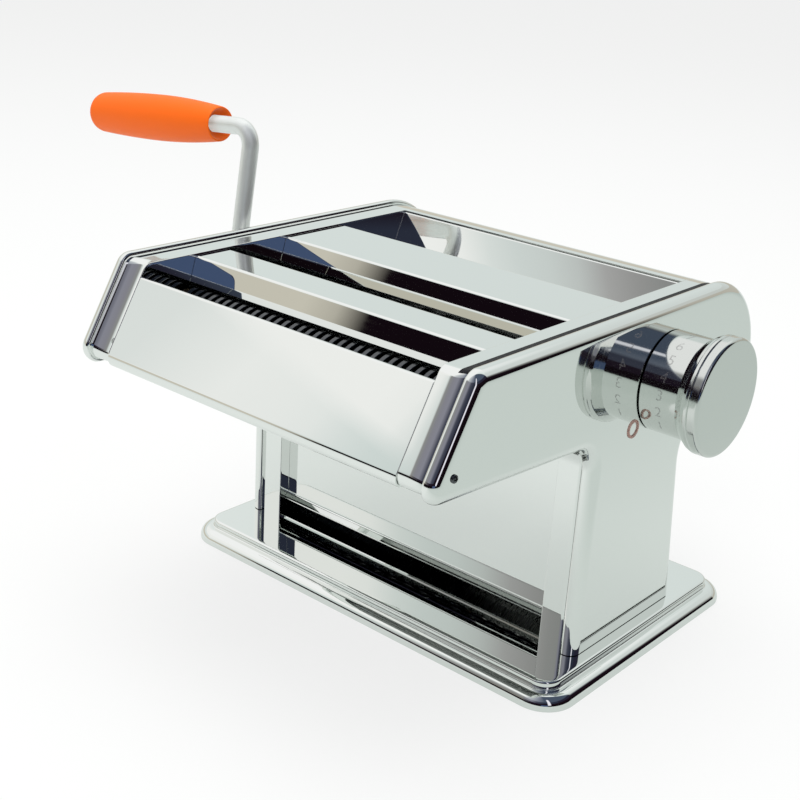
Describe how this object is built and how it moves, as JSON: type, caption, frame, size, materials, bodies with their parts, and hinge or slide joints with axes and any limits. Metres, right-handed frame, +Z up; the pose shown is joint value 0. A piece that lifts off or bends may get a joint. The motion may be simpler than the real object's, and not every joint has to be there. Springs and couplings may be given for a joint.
{
  "type": "pasta machine",
  "caption": "Hand-cranked pasta machine with smooth sheet rollers, a thickness dial, fine and wide cutting rollers, a removable crank and a flat base.",
  "frame": {"origin": "middle of the base's underside, on the table", "axes": "+X along the rollers towards the dial, -Y towards the slanted front cover, +Z up"},
  "size_m": [0.3476, 0.2282, 0.2044],
  "materials": {
    "polished_chrome": "polished",
    "plated_steel": "satin",
    "bronze": "matte",
    "rubber": "matte",
    "mark_paint": "gloss",
    "orange_plastic": "satin"
  },
  "bodies": {
    "machine": {"base_pan": "polished_chrome", "base_feet": "rubber", "base_screws": "plated_steel", "side_frame_left": "polished_chrome", "side_frame_right": "polished_chrome", "side_cover_left": "polished_chrome", "side_cover_right": "polished_chrome", "cover_posts": "plated_steel", "cover_screws": "polished_chrome", "tie_rods": "plated_steel", "tie_rod_screws": "plated_steel", "shaft_bushes": "bronze", "front_cover": "polished_chrome", "front_panel": "polished_chrome", "back_cover": "polished_chrome", "hopper_panel": "polished_chrome", "guide_plate_front": "polished_chrome", "guide_plate_rear": "polished_chrome", "outfeed_chute": "plated_steel", "fine_comb_front": "plated_steel", "fine_comb_rear": "plated_steel", "wide_comb_front": "plated_steel", "wide_comb_rear": "plated_steel", "sheet_scrapers": "plated_steel", "carrier_pins": "plated_steel", "dial_bearings": "bronze", "index_peg": "plated_steel", "index_mark": "mark_paint", "socket_rings": "polished_chrome"},
    "fine_drive": {"fine_cutter_drive": "plated_steel", "fine_gear_drive": "plated_steel"},
    "fine_follow": {"fine_cutter_follow": "plated_steel", "fine_gear_follow": "plated_steel"},
    "wide_drive": {"wide_cutter_drive": "plated_steel", "wide_gear_drive": "plated_steel"},
    "wide_follow": {"wide_cutter_follow": "plated_steel", "wide_gear_follow": "plated_steel"},
    "sheet_drive": {"sheet_roller_drive": "plated_steel", "sheet_gear_drive": "plated_steel"},
    "sheet_adjust": {"sheet_roller_adjust": "plated_steel", "sheet_gear_adjust": "plated_steel"},
    "roller_carrier": {"carrier_left": "plated_steel", "carrier_right": "plated_steel"},
    "dial": {"dial_shaft": "plated_steel", "dial_washer": "plated_steel", "knob_spring": "plated_steel"},
    "knob": {"dial_knob": "polished_chrome", "dial_cap": "polished_chrome"},
    "crank": {"crank_rod": "polished_chrome"},
    "grip": {"crank_grip": "orange_plastic"}
  },
  "joints": [
    {"name": "fine_turn", "type": "hinge", "parent": "machine", "child": "fine_drive", "pos_m": [0, -0.099, 0.13], "axis": [1, 0, 0], "continuous": true},
    {"name": "fine_follow_turn", "type": "hinge", "parent": "machine", "child": "fine_follow", "pos_m": [0, -0.1195, 0.13], "axis": [1, 0, 0], "continuous": true},
    {"name": "wide_turn", "type": "hinge", "parent": "machine", "child": "wide_drive", "pos_m": [0, -0.0458, 0.13], "axis": [1, 0, 0], "continuous": true},
    {"name": "wide_follow_turn", "type": "hinge", "parent": "machine", "child": "wide_follow", "pos_m": [0, -0.0663, 0.13], "axis": [1, 0, 0], "continuous": true},
    {"name": "sheet_turn", "type": "hinge", "parent": "machine", "child": "sheet_drive", "pos_m": [0, 0.0335, 0.123], "axis": [1, 0, 0], "continuous": true},
    {"name": "dial_turn", "type": "hinge", "parent": "machine", "child": "dial", "pos_m": [0, 0.0045, 0.123], "axis": [1, 0, 0], "range_deg": [0, 160]},
    {"name": "carrier_slide", "type": "slide", "parent": "machine", "child": "roller_carrier", "axis": [0, 1, 0], "range_m": [0, 0.0022]},
    {"name": "sheet_adjust_turn", "type": "hinge", "parent": "roller_carrier", "child": "sheet_adjust", "pos_m": [0, 0.0034, 0.123], "axis": [1, 0, 0], "continuous": true},
    {"name": "knob_pull", "type": "slide", "parent": "dial", "child": "knob", "axis": [1, 0, 0], "range_m": [0, 0.003], "stiffness_N_per_m": 1500, "springref_m": -0.003, "deforming": ["knob_spring"]},
    {"name": "crank_pull", "type": "slide", "parent": "wide_drive", "child": "crank", "axis": [-1, 0, 0], "range_m": [0, 0.02]},
    {"name": "grip_turn", "type": "hinge", "parent": "crank", "child": "grip", "pos_m": [-0.108, -0.0364, 0.19775], "axis": [0.9965, 0, 0.0837], "continuous": true}
  ],
  "couplings": [
    {"joint": "fine_follow_turn", "follows": "fine_turn", "ratio": -1},
    {"joint": "wide_follow_turn", "follows": "wide_turn", "ratio": -1},
    {"joint": "sheet_adjust_turn", "follows": "sheet_turn", "ratio": -1},
    {"joint": "carrier_slide", "follows": "dial_turn", "m_per_rad": 0.00078782}
  ]
}
